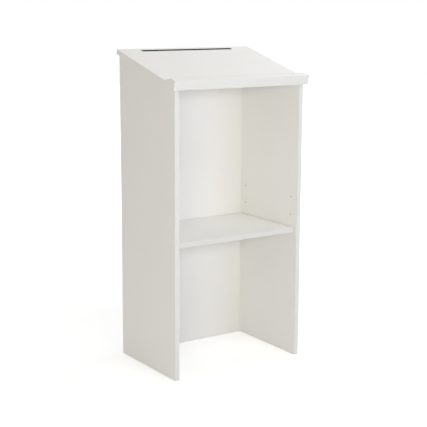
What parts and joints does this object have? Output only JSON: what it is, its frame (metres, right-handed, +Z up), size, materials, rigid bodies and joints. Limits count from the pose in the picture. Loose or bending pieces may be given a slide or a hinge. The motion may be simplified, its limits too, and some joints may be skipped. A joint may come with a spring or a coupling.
{
  "type": "lectern",
  "caption": "Stand-up lectern of white laminated board with a sloped reading top, a book stop, a pencil groove and a loose shelf, open on the presenter's side.",
  "frame": {"origin": "on the floor, under the middle of the whole lectern", "axes": "+X is the presenter's right, +Y points to the audience, +Z is up"},
  "size_m": [0.58, 0.4008, 1.16],
  "materials": {
    "white_laminate": "white melamine laminate on particle board, satin with a fine pearl grain",
    "white_edging": "white ABS edge strip, satin",
    "groove_liner": "black moulded plastic, fine matt grain",
    "zinc": "zinc-plated, slightly dull",
    "nickel": "nickel-plated steel, fine scratches",
    "white_caps": "white moulded plastic, satin",
    "beech": "plain fluted beech",
    "glide_plastic": "grey polyethylene, matt"
  },
  "bodies": {
    "carcass": {"left_side_panel": "white_laminate", "right_side_panel": "white_laminate", "front_panel": "white_laminate", "reading_board": "white_laminate", "book_stop": "white_laminate", "nosing_strip": "white_edging", "pen_tray": "groove_liner", "left_panel_edging": "white_edging", "right_panel_edging": "white_edging", "reading_board_edging": "white_edging", "cam_locks": "zinc", "cam_bolts": "zinc", "cam_covers": "white_caps", "wood_dowels": "beech", "book_stop_screws": "zinc", "glide_pads": "glide_plastic", "glide_nails": "zinc"},
    "shelf": {"shelf": "white_laminate", "shelf_edging": "white_edging"},
    "pin_left_near": {"shelf_pin_left_near": "nickel"},
    "pin_left_far": {"shelf_pin_left_far": "nickel"},
    "pin_right_near": {"shelf_pin_right_near": "nickel"},
    "pin_right_far": {"shelf_pin_right_far": "nickel"}
  },
  "joints": [
    {"name": "shelf_slide", "type": "slide", "parent": "carcass", "child": "shelf", "axis": [0, -1, 0], "range_m": [0, 0.36]},
    {"name": "pin_left_near_pull", "type": "slide", "parent": "carcass", "child": "pin_left_near", "axis": [1, 0, 0], "range_m": [0, 0.02]},
    {"name": "pin_left_far_pull", "type": "slide", "parent": "carcass", "child": "pin_left_far", "axis": [1, 0, 0], "range_m": [0, 0.02]},
    {"name": "pin_right_near_pull", "type": "slide", "parent": "carcass", "child": "pin_right_near", "axis": [-1, 0, 0], "range_m": [0, 0.02]},
    {"name": "pin_right_far_pull", "type": "slide", "parent": "carcass", "child": "pin_right_far", "axis": [-1, 0, 0], "range_m": [0, 0.02]}
  ]
}
